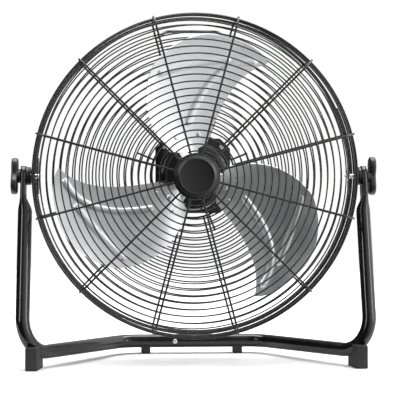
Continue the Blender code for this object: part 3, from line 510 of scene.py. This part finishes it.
def section_point(tree, along, angle, size):
    """Where a distance along the guard's section lies at an angle: over the face, the corner and the side."""
    reach = size["Corner"] + size["Offset"]
    face = size["Radius"] - size["Corner"]
    arc = size["Corner"] * (math.pi / 2)
    turn = ((along - face) / size["Corner"]).at_least(0.0).at_most(math.pi / 2)
    radius = along.at_most(face) + reach * turn.maths("SINE")
    height = size["Half depth"] - size["Corner"] + reach * turn.maths("COSINE")
    depth = size["Side"] * (height - (along - face - arc).at_least(0.0))
    place = {"X": radius * angle.maths("COSINE"), "Y": radius * angle.maths("SINE"), "Z": depth}
    return add(tree, "ShaderNodeCombineXYZ", {}, place)


def bar_along(tree, points, size):
    """A round bar through a row of mesh points."""
    line = add(tree, "GeometryNodeMeshToCurve", {}, {"Mesh": points})
    section = {"Resolution": size["Sides"], "Radius": size["Bar"]}
    circle = add(tree, "GeometryNodeCurvePrimitiveCircle", {}, section)
    ends = {"Curve": line, "Profile Curve": circle, "Fill Caps": True}
    return add(tree, "GeometryNodeCurveToMesh", {}, ends)


def placed_row(tree, count, place):
    row = add(tree, "GeometryNodeMeshLine", {"mode": "OFFSET"}, {"Count": count})
    return add(tree, "GeometryNodeSetPosition", {}, {"Geometry": row, "Position": place})


def wound_wire(tree, size):
    """One wire wound outwards over the guard's section, a pitch further on with each turn."""
    step = add(tree, "GeometryNodeInputIndex", {}, {})
    turns = step / size["Points"]
    along = size["Start"] + size["Pitch"] * turns
    angle = size["Phase"] - size["Side"] * turns * (2 * math.pi)
    count = (size["End"] - size["Start"]) / size["Pitch"] * size["Points"]
    return bar_along(tree, placed_row(tree, count, section_point(tree, along, angle, size)), size)


def bar_ring(tree, radius, height, size):
    """A closed ring of the ribs' bar."""
    circle = add(tree, "GeometryNodeMeshCircle", {}, {"Vertices": size["Ring points"], "Radius": radius})
    lift = add(tree, "ShaderNodeCombineXYZ", {}, {"Z": height})
    lifted = add(tree, "GeometryNodeTransform", {}, {"Geometry": circle, "Translation": lift})
    return bar_along(tree, lifted, size)


def spread_round(tree, shape, count, start):
    """Copies of a shape evenly round the axis."""
    spots = add(tree, "GeometryNodePoints", {}, {"Count": count})
    step = add(tree, "GeometryNodeInputIndex", {}, {})
    turn = add(tree, "ShaderNodeCombineXYZ", {}, {"Z": start + step / count * (2 * math.pi)})
    copies = {"Points": spots, "Instance": shape, "Rotation": turn}
    return add(tree, "GeometryNodeInstanceOnPoints", {}, copies)


def rib_set(tree, size):
    """Ribs from the hub ring over the corner to the clamp ring, and short stubs between them."""
    step = add(tree, "GeometryNodeInputIndex", {}, {})
    along = size["Hub"] + (size["End"] - size["Hub"]) * step / (size["Points"] - 1)
    still = size["Hub"] * 0.0
    rib = bar_along(tree, placed_row(tree, size["Points"], section_point(tree, along, still, size)), size)
    ribs = spread_round(tree, rib, size["Ribs"], size["First rib"])
    reach = size["Hub"] + (size["Stub end"] - size["Hub"]) * step
    stub = bar_along(tree, placed_row(tree, 2, section_point(tree, reach, still, size)), size)
    stubs = spread_round(tree, stub, size["Stubs"], math.pi / 8 + still)
    face = size["Side"] * (size["Half depth"] + size["Offset"])
    hub_ring = bar_ring(tree, size["Hub"], face, size)
    clamp_ring = bar_ring(tree, size["Radius"] + size["Offset"], size["Side"] * size["Clamp height"], size)
    joined = tree.nodes.new("GeometryNodeJoinGeometry")
    for part in (clamp_ring, hub_ring, stubs, ribs):
        tree.links.new(part.socket, joined.inputs[0])
    return Signal(tree, joined.outputs[0])


def make_guards():
    side_run = HALF_DEPTH - CORNER_RADIUS - RING_Z
    for name, guard in GUARDS.items():
        shell = {
            "Radius": CAGE_RADIUS, "Corner": CORNER_RADIUS, "Half depth": HALF_DEPTH,
            "Side": float(guard["side"]),
        }
        wire = grown(
            f"{name}_guard_wire", wound_wire, **shell, Offset=0.0, Pitch=WIRE_PITCH, Points=WIRE_POINTS,
            Start=guard["start"], End=FACE_LENGTH + ARC_LENGTH + side_run - 2 * RIB_RADIUS,
            Phase=guard["phase"], Bar=WIRE_RADIUS, Sides=8,
        )
        nodes = (f"{name}_face_wire", f"{name}_side_wire")
        piece(f"{name}_guard_wire", moved(wire, HEAD), "head", WIRE_BLACK, "black_wire", *nodes)
        ribs = grown(
            f"{name}_rib_frame", rib_set, **shell, Offset=RIB_OFFSET, Hub=guard["hub"], Points=64,
            End=FACE_LENGTH + ARC_LENGTH + side_run, Ribs=RIB_COUNT, Bar=RIB_RADIUS, Sides=10,
            Stubs=STUB_COUNT if name == "rear" else 0,
            **{"First rib": RIB_START, "Stub end": STUB_END, "Clamp height": RING_Z, "Ring points": 144},
        )
        piece(f"{name}_rib_frame", moved(ribs, HEAD), "head", WIRE_BLACK, "black_wire", f"{name}_guard_ribs")


def make_cap():
    """The round cap on the front hub ring: a flat disc inside a bevelled rim."""
    low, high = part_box("front_cap")
    radius = (high.x - low.x) / 2
    back = PIVOT.y - high.y
    face = PIVOT.y - low.y
    outline = [
        (0.0, face - 0.0028), (0.0282, face - 0.0028), (0.0288, face - 0.0008), (0.0300, face - 0.0004),
        (0.0352, face - 0.0040), (0.0358, face - 0.0056), (radius, face - 0.0062), (radius, back),
        (0.0, back),
    ]
    cap = turned("hub_cap", outline, ease=0.0005)
    piece("hub_cap", moved(cap, HEAD), "head", PLASTIC_BLACK, "black_plastic", "front_cap")


def make_handle():
    low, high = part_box("carry_handle")
    radius = HANDLE_RADIUS
    top = high.z - PIVOT.z - radius
    foot = low.z - PIVOT.z + radius
    foot_z = PIVOT.y - low.y - radius
    bar_z = PIVOT.y - high.y + radius
    half_foot = (high.x - low.x) / 2 - radius
    corners = [
        (-half_foot, foot, foot_z), (-HANDLE_HALF_FLAT, top, bar_z), (HANDLE_HALF_FLAT, top, bar_z),
        (half_foot, foot, foot_z),
    ]
    bar = rod("carry_bar", bent(corners, HANDLE_BEND, 8), radius)
    piece("carry_bar", moved(bar, HEAD), "head", TUBE_BLACK, "black_tube", "carry_handle")


# ---------------------------------------------------------------- stand


TUBE_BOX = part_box("stand_tube_left")
ARM_X = -TUBE_BOX[0].x - TUBE_RADIUS
ACROSS_ARM = Vector((0.0, math.cos(ARM_LEAN), -math.sin(ARM_LEAN)))
DOWN_ARM = Vector((0.0, -math.sin(ARM_LEAN), -math.cos(ARM_LEAN)))


def arm_point(side, below):
    """On an arm's centre line, at a distance below the pivot along the arm."""
    return Vector((side * ARM_X, PIVOT.y, PIVOT.z)) + DOWN_ARM * below


def stand_path(side, seam_x):
    """Centre line from an arm's top round the front corner and the rear bend to the seam."""
    below = (PIVOT.z - BASE_FRONT_HEIGHT) / math.cos(ARM_LEAN)
    rear_y = TUBE_BOX[1].y - TUBE_RADIUS
    corners = [
        arm_point(side, -ARM_ABOVE_PIVOT), arm_point(side, below),
        (side * REAR_BEND_X, rear_y, BASE_REAR_HEIGHT), (seam_x, rear_y, BASE_REAR_HEIGHT),
    ]
    path = bent(corners, BEND_RADIUS, 20)
    tip = path[0]
    run = path[1] - tip
    fine = [tip + run * (share / 60) ** 2 for share in range(60)]
    return fine + path[1:]


def pressed(point, centre, side):
    """A point of the round tube, squeezed flat near the pivot and rounded off at the arm's tip."""
    pivot = arm_point(side, 0.0)
    below = (centre - pivot).dot(DOWN_ARM)
    if below > ROUND_START or abs(centre.x - pivot.x) > 0.001:
        return point
    share = min(1.0, (ROUND_START - below) / (ROUND_START - FLAT_END))
    share = share * share * (3 - 2 * share)
    out = (point.x - centre.x) / TUBE_RADIUS
    wide = (point - centre).dot(ACROSS_ARM) / TUBE_RADIUS
    flat_out = math.copysign(min(1.0, abs(out) * 1.9) ** 0.8, out)
    thick = TUBE_RADIUS * out + share * (FLAT_THICKNESS / 2 * flat_out - TUBE_RADIUS * out)
    width = TUBE_RADIUS + share * (FLAT_HALF_WIDTH - TUBE_RADIUS)
    from_tip = min(FLAT_HALF_WIDTH, below + ARM_ABOVE_PIVOT)
    tip = math.sqrt(max(0.02, 1 - (1 - from_tip / FLAT_HALF_WIDTH) ** 2))
    spot = pivot + DOWN_ARM * below + ACROSS_ARM * wide * width * tip
    spot.x = pivot.x + thick + side * FLAT_SHIFT * share
    return spot


def make_tubes():
    sides = 40
    seam = (TUBE_BOX[1].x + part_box("stand_tube_right")[0].x) / 2
    for name, side in (("left", -1), ("right", 1)):
        rings = []
        path = stand_path(side, seam + side * SEAM_GAP)
        for point, tangent, cross in carried(path, Vector((1.0, 0.0, 0.0))):
            up = tangent.cross(cross)
            ring = []
            for i in range(sides):
                angle = 2 * math.pi * i / sides
                spot = point + (cross * math.cos(angle) + up * math.sin(angle)) * TUBE_RADIUS
                ring.append(pressed(spot, point, side))
            rings.append(ring)
        tube = lofted(f"bent_tube_{name}", rings)
        piece(f"bent_tube_{name}", tube, "stand", TUBE_BLACK, "black_tube", f"stand_tube_{name}")


def screw_mesh(name, radius, length):
    """A pan-head screw along z with a cross recess, its head's underside at z = 0."""
    depth, shank = SCREW_HEAD_DEPTH, SCREW_SHANK
    outline = [
        (0.0, depth), (radius * 0.55, depth * 0.96), (radius * 0.88, depth * 0.66), (radius, depth * 0.25),
        (radius, 0.0), (shank, 0.0), (shank, -length), (0.0, -length),
    ]
    head = turned(name, outline, 32, ease=0.0003)
    for i in range(2):
        slot = slab("slot", box_outline(radius * 1.15, radius * 0.28), depth, radius * 0.04)
        moved(slot, Matrix.Translation((0.0, 0.0, depth * 1.05)) @ Matrix.Rotation(math.pi / 2 * i, 4, "Z"))
        head = cut(head, slot)
    return head


def make_joint_screw():
    low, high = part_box("stand_joint_screw")
    centre = (low + high) / 2
    head = screw_mesh("joint_screw", (high.x - low.x) / 2, high.y - low.y - 0.0023)
    seat = Matrix.Translation((centre.x, low.y + SCREW_HEAD_DEPTH, centre.z))
    place = seat @ Matrix.Rotation(math.pi / 2, 4, "X")
    piece("joint_screw", moved(head, place), "stand", ZINC, "bright_steel", "stand_joint_screw")


def make_feet():
    """Rubber blocks with rounded edges, grooved for the tube."""
    for name, side in (("left", -1), ("right", 1)):
        groove = rod(f"groove_{name}", stand_path(side, 0.0), TUBE_RADIUS + GROOVE_GAP, 40)
        for end in ("front", "rear"):
            node = f"{end}_foot_{name}"
            low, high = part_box(node)
            middle = (low + high) / 2
            half_x, half_y = (high.x - low.x) / 2, (high.y - low.y) / 2
            shear = FOOT_SHEAR if end == "front" else 0.0
            slant = [
                (side * half_x, -half_y), (side * (half_x - shear), half_y), (-side * half_x, half_y),
                (-side * (half_x - shear), -half_y),
            ]
            block = slab(f"{end}_pad_{name}", slant, high.z - low.z, 0.0022, 4)
            block = cut(moved(block, Matrix.Translation(middle)), groove)
            piece(f"{end}_pad_{name}", block, "stand", RUBBER, "black_rubber", node)


# ---------------------------------------------------------------- pivots


def make_pivots():
    for name, side in (("left", -1), ("right", 1)):
        low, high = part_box(f"pivot_bracket_{name}")
        inner = min(abs(low.x), abs(high.x))
        outer = max(abs(low.x), abs(high.x))
        plate = slab(f"bracket_{name}", box_outline(high.z - low.z, high.y - low.y), outer - inner, 0.0007)
        turn = Matrix.Translation((side * (inner + outer) / 2, 0.0, 0.0)) @ facing(side)
        node = f"pivot_bracket_{name}"
        piece(f"bracket_{name}", moved(plate, turn, HEAD), "head", WIRE_BLACK, "black_wire", node)

        low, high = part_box(f"pivot_collar_{name}")
        start, end = sorted((abs(low.x), abs(high.x)))
        radius = (high.z - low.z) / 2
        outline = [
            (radius, end), (radius, end - 0.004), (radius - 0.0012, end - 0.0048),
            (radius - 0.0012, start + 0.0030), (radius, start + 0.0022), (radius, start),
            (BOLT_BORE, start), (BOLT_BORE, end),
        ]
        collar = turned(f"collar_{name}", outline, 72, True)
        piece(
            f"collar_{name}", moved(collar, facing(side), HEAD), "head", PLASTIC_BLACK, "black_plastic",
            f"pivot_collar_{name}",
        )

        low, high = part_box(f"pivot_bolt_{name}")
        start, end = sorted((abs(low.x), abs(high.x)))
        outline = [
            (0.0, end), (0.0036, end), (0.004, end - 0.0006), (0.004, start + 0.0035),
            (0.0085, start + 0.0035), (0.0085, start + 0.0021), (0.0070, start + 0.0006), (0.0, start),
        ]
        bolt = turned(f"bolt_{name}", outline, 48, ease=0.0004)
        moved(bolt, facing(side), HEAD)
        piece(f"bolt_{name}", bolt, "head", ZINC, "bright_steel", f"pivot_bolt_{name}")
        for place in ("front", "rear"):
            node = f"bracket_screw_{name}_{place}"
            low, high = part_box(node)
            seat = max(abs(low.x), abs(high.x))
            head = screw_mesh(node.replace("screw", "head"), (high.z - low.z) / 2, 0.0002)
            spot = Matrix.Translation((side * seat, 0.0, PIVOT.y - (low.y + high.y) / 2)) @ facing(-side)
            piece(node.replace("screw", "head"), moved(head, spot, HEAD), "head", ZINC, "bright_steel", node)
        make_knob(name, side)


def make_knob(name, side):
    """A moulded knob: a round boss under a flat grip with two rounded lobes and a waist between them."""
    low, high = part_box(f"tilt_knob_{name}")
    start, end = sorted((abs(low.x), abs(high.x)))
    boss = turned(
        f"wing_knob_{name}",
        [(0.0, end - KNOB_DEPTH / 2), (0.0105, end - KNOB_DEPTH / 2), (0.0125, start + 0.002),
         (0.0125, start), (BOLT_BORE, start), (BOLT_BORE, start + 0.0105), (0.0, start + 0.0108)],
        64,
    )
    half = (KNOB_LENGTH - KNOB_WIDTH) / 2
    outline = []
    for end_y, middle in ((half, math.pi / 2), (-half, -math.pi / 2)):
        for i in range(25):
            angle = middle + LOBE_SWEEP * (i / 12 - 1)
            outline.append((KNOB_WIDTH / 2 * math.cos(angle), end_y + KNOB_WIDTH / 2 * math.sin(angle)))
        outline.append((-math.copysign(KNOB_WAIST / 2, end_y), 0.0))
    bar = slab(f"thumb_bar_{name}", outline, KNOB_DEPTH, 0.0036, 5)
    turn = Matrix.Rotation(KNOB_TURN[name], 4, "X")
    bar_place = Matrix.Translation((side * (end - KNOB_DEPTH / 2), 0.0, 0.0)) @ turn
    moved(bar, Matrix.Rotation(math.pi / 2, 4, "Y"), bar_place)
    knob = cut(moved(boss, facing(side)), bar, "UNION")
    body = f"{name}_knob"
    piece(f"wing_knob_{name}", moved(knob, HEAD), body, PLASTIC_BLACK, "black_plastic", f"tilt_knob_{name}")


# ---------------------------------------------------------------- motor


def make_motor():
    low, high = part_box("motor_front_shell")
    radius = (high.x - low.x) / 2
    front = PIVOT.y - low.y
    back = PIVOT.y - high.y
    outline = [
        (0.0055, front), (0.020, front), (0.0235, front - 0.004), (radius - 0.012, front - 0.0045),
        (radius - 0.003, front - 0.008), (radius, front - 0.015), (radius, back), (radius - SHELL_WALL, back),
        (radius - SHELL_WALL, front - 0.018), (0.0055, front - 0.018),
    ]
    shell = turned("motor_bell_front", outline, closed=True, ease=0.003)
    piece("motor_bell_front", moved(shell, HEAD), "head", TUBE_BLACK, "black_tube", "motor_front_shell")

    low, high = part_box("motor_rear_shell")
    front = PIVOT.y - low.y
    back = PIVOT.y - high.y
    outline = [
        (0.0015, back), (radius - 0.012, back), (radius, back + 0.012), (radius, front),
        (radius - SHELL_WALL, front), (radius - SHELL_WALL, back + 0.013),
        (radius - 0.013, back + SHELL_WALL), (0.0015, back + SHELL_WALL),
    ]
    shell = turned("motor_bell_rear", outline[::-1], closed=True, ease=0.003)
    piece("motor_bell_rear", moved(shell, HEAD), "head", TUBE_BLACK, "black_tube", "motor_rear_shell")

    low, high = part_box("motor_plate")
    half = (high.x - low.x) / 2
    cut_half = math.sqrt(2) * (radius + 0.021) - half
    outline = []
    for i in range(4):
        for x, y in ((half, -cut_half), (half, cut_half)):
            outline.append(Matrix.Rotation(math.pi / 2 * i, 2) @ Vector((x, y)))
    outline = [point.to_2d() for point in bent(outline, 0.005, 4, True)]
    plate = slab("motor_mount_plate", outline, high.y - low.y, 0.0005)
    place = Matrix.Translation((0.0, 0.0, PIVOT.y - (low.y + high.y) / 2))
    piece("motor_mount_plate", moved(plate, place, HEAD), "head", TUBE_BLACK, "black_tube", "motor_plate")
    for i in range(1, 5):
        low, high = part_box(f"motor_screw_{i}")
        head = screw_mesh(f"plate_screw_{i}", (high.x - low.x) / 2, high.y - low.y - SCREW_HEAD_DEPTH)
        spot = ((low.x + high.x) / 2, (low.z + high.z) / 2 - PIVOT.z, PIVOT.y - low.y - SCREW_HEAD_DEPTH)
        moved(head, Matrix.Translation(spot), HEAD)
        piece(f"plate_screw_{i}", head, "head", ZINC, "bright_steel", f"motor_screw_{i}")


# ---------------------------------------------------------------- rotor


def blade_edges(radius):
    """The blade's two edges at a radius, in radians from the line through its middle rivet."""
    share = (radius - BLADE_ROOT_RADIUS) / (SWEEP_RADIUS - BLADE_ROOT_RADIUS)
    leading = -30 - 15 * share**3
    trailing = 38 - 9 * share - 32 * share**2
    return math.radians(leading), math.radians(trailing)


def blade_point(radius, across, lift=0.0):
    """On the blade's middle surface, twisted, its trailing edge forward, and a little hollow in front."""
    leading, trailing = blade_edges(radius)
    share = (radius - BLADE_ROOT_RADIUS) / (SWEEP_RADIUS - BLADE_ROOT_RADIUS)
    depth = ROOT_DEPTH + (TIP_DEPTH - ROOT_DEPTH) * max(0.0, share)
    height = depth / 2 * across - CAMBER * (1 - across**2)
    angle = (leading + trailing) / 2 + (trailing - leading) / 2 * across
    return on_circle(radius, angle, height + lift)


def stroke(start, pull, end, steps=24):
    """A curved line on the blade's plan, drawn from start to end and pulled towards a third point."""
    spots = []
    for i in range(steps + 1):
        t = i / steps
        spots.append(Vector(start) * (1 - t) ** 2 + Vector(pull) * 2 * t * (1 - t) + Vector(end) * t**2)
    return spots


RIDGES = (
    stroke((0.096, -0.005), (0.200, -0.063), (0.183, -0.138)),
    stroke((0.195, -0.091), (0.198, -0.030), (0.188, 0.030)),
)


def ridge_height(point):
    """Height of the pressed stiffening ridges at a point of the blade's plan."""
    flat = point.to_2d()
    nearest = 1.0
    for ridge in RIDGES:
        for start, end in zip(ridge, ridge[1:]):
            along = (flat - start).dot(end - start) / (end - start).length_squared
            spot = start + (end - start) * min(1.0, max(0.0, along))
            nearest = min(nearest, (flat - spot).length)
    share = min(1.0, max(0.0, (RIDGE_HALF_WIDTH - nearest) / RIDGE_SHOULDER))
    return RIDGE_HEIGHT * share * share * (3 - 2 * share)


def sheet_grid(name, steps, place):
    """A grid whose unit coordinates (0 to 1, -1 to 1) are moved by place."""
    form = bmesh.new()
    bmesh.ops.create_grid(form, x_segments=steps[0], y_segments=steps[1], size=1.0)
    for vertex in form.verts:
        vertex.co = place((vertex.co.x + 1) / 2, vertex.co.y)
    return mesh_from(name, form, 60.0)


def blade_place(share, across):
    drop = TIP_DROP if across > 0 else HORN_DROP
    outer = SWEEP_RADIUS - drop * abs(across) ** 3.5
    inner = BLADE_ROOT_RADIUS + ROOT_DROP * abs(across) ** 3
    point = blade_point(inner + (outer - inner) * share, across)
    point.z += ridge_height(point)
    return point


def make_rotor():
    for i in range(BLADE_COUNT):
        turn = Matrix.Rotation(BLADE_START + 2 * math.pi * i / BLADE_COUNT, 4, "Z")
        place = HEAD @ Matrix.Translation((0.0, 0.0, ROTOR_Z)) @ turn
        blade = sheet_grid(f"pressed_blade_{i + 1}", BLADE_STEPS, blade_place)
        blade = shaped(blade, ("SOLIDIFY", {"thickness": BLADE_THICKNESS, "offset": 0.0}))
        moved(smooth(blade, 60.0), place)
        piece(f"pressed_blade_{i + 1}", blade, "rotor", SHEET, "blade_aluminium", f"fan_blade_{i + 1}")
        for j, (radius, degrees) in enumerate(RIVETS):
            make_rivet(f"blade_{i + 1}_rivet_{j + 1}", radius, math.radians(degrees), place)
    dress(ZINC, "blade_hub", "hub_nut", "rotor_shaft")


def make_rivet(node, radius, angle, place):
    """A domed rivet head on the blade's front, along the surface's normal."""
    leading, trailing = blade_edges(radius)
    across = (angle - (leading + trailing) / 2) / ((trailing - leading) / 2)
    here = blade_point(radius, across)
    normal = (blade_point(radius + 0.002, across) - here).cross(blade_point(radius, across + 0.02) - here)
    lean = normal.normalized().to_track_quat("Z", "Y").to_matrix().to_4x4()
    rise = [math.pi / 2 * k / 8 for k in range(9)]
    dome = [(RIVET_RADIUS * math.sin(angle), 0.0017 * math.cos(angle)) for angle in rise]
    head = turned(node.replace("rivet", "rivet_head"), [*dome, (0.0, 0.0)], 32, ease=0.0001)
    spot = Matrix.Translation(here + normal.normalized() * BLADE_THICKNESS / 2)
    moved(head, spot @ lean, place)
    piece(node.replace("rivet", "rivet_head"), head, "rotor", ZINC, "bright_steel", node)


# ---------------------------------------------------------------- stage


def area_light(name, place, aim, size, watts):
    lamp = bpy.data.lights.new(name, "AREA")
    lamp.shape = "RECTANGLE"
    lamp.size, lamp.size_y = size
    lamp.energy = watts
    light = bpy.data.objects.new(name, lamp)
    light.location = place
    light.rotation_euler = (Vector(aim) - Vector(place)).to_track_quat("-Z", "Y").to_euler()
    bpy.context.scene.collection.objects.link(light)


def make_stage():
    floor = Finish("studio_floor", (0.9, 0.9, 0.9), 0.7)
    floor.set("Base Color", floor.mix(floor.noise(3.0), (0.9, 0.9, 0.9), (0.92, 0.92, 0.92)))
    form = bmesh.new()
    bmesh.ops.create_grid(form, x_segments=1, y_segments=1, size=FLOOR_SIZE)
    bmesh.ops.translate(form, verts=form.verts, vec=(0.0, FLOOR_SIZE - FLOOR_IN_FRONT, 0.0))
    ground = bpy.data.objects.new("studio_floor", mesh_from("studio_floor", form))
    ground.data.materials.append(floor.material)
    bpy.context.scene.collection.objects.link(ground)
    make_world()
    area_light("key_softbox", (-2.0, -1.5, 1.5), LIGHT_AIM, (0.5, 2.0), 26.0)
    area_light("fill_softbox", (2.3, -1.2, 1.2), LIGHT_AIM, (0.4, 1.8), 22.0)
    area_light("top_softbox", (0.0, 0.5, 2.4), (0.0, 0.3, 0.0), (3.0, 2.0), 110.0)
    bpy.context.scene.view_settings.view_transform = "Standard"


def make_world():
    """A white backdrop to look at, and a dimmer room for the fan to reflect."""
    world = bpy.data.worlds.new("studio")
    world.use_nodes = True
    tree = world.node_tree
    seen = add(tree, "ShaderNodeLightPath", {}, {}, "Is Camera Ray")
    feed(tree, tree.nodes["Background"].inputs["Color"], (1.0, 1.0, 1.0, 1.0))
    split = tree.nodes.new("ShaderNodeSeparateXYZ")
    tree.links.new(tree.nodes.new("ShaderNodeTexCoord").outputs["Generated"], split.inputs[0])
    right, up = (Signal(tree, split.outputs[name]) for name in ("X", "Z"))
    room = (ROOM_LIGHT + ROOM_FROM_RIGHT * right + ROOM_FROM_ABOVE * up).at_least(ROOM_DARKEST)
    feed(tree, tree.nodes["Background"].inputs["Strength"], room + (1.0 - room) * seen)
    bpy.context.scene.world = world


def make_camera():
    lens = bpy.data.cameras.new("view")
    lens.sensor_width = 36.0
    lens.lens = CAMERA_FOCAL
    camera = bpy.data.objects.new("view", lens)
    camera.location = (-0.12, PIVOT.y - CAMERA_DISTANCE, 0.345)
    camera.rotation_euler = (math.radians(90.0 - 1.39), 0.0, math.radians(-3.09))
    bpy.context.scene.collection.objects.link(camera)
    bpy.context.scene.camera = camera


make_camera()
TUBE_BLACK = powder_coat("gloss_powder", (0.0025, 0.0025, 0.0028), 0.17, 0.04)
WIRE_BLACK = powder_coat("satin_powder", (0.003, 0.003, 0.0033), 0.27, 0.06)
SHEET = rolled_aluminium()
ZINC = plated_steel()
PLASTIC_BLACK = moulded_plastic()
RUBBER = foot_rubber()
COPPER = copper_winding()
CORE = laminated_steel()

make_guards()
make_cap()
make_handle()
make_tubes()
make_joint_screw()
make_feet()
make_pivots()
make_motor()
make_rotor()
dress(CORE, "stator_core", "rotor_core")
dress(COPPER, "front_winding", "rear_winding")
dress(ZINC, "front_bearing", "rear_bearing")
dress(PLASTIC_BLACK, "run_capacitor", "speed_switch", "speed_knob")
dress(TUBE_BLACK, "stand_joint_sleeve")
dress(RUBBER, "cable_gland")
make_stage()
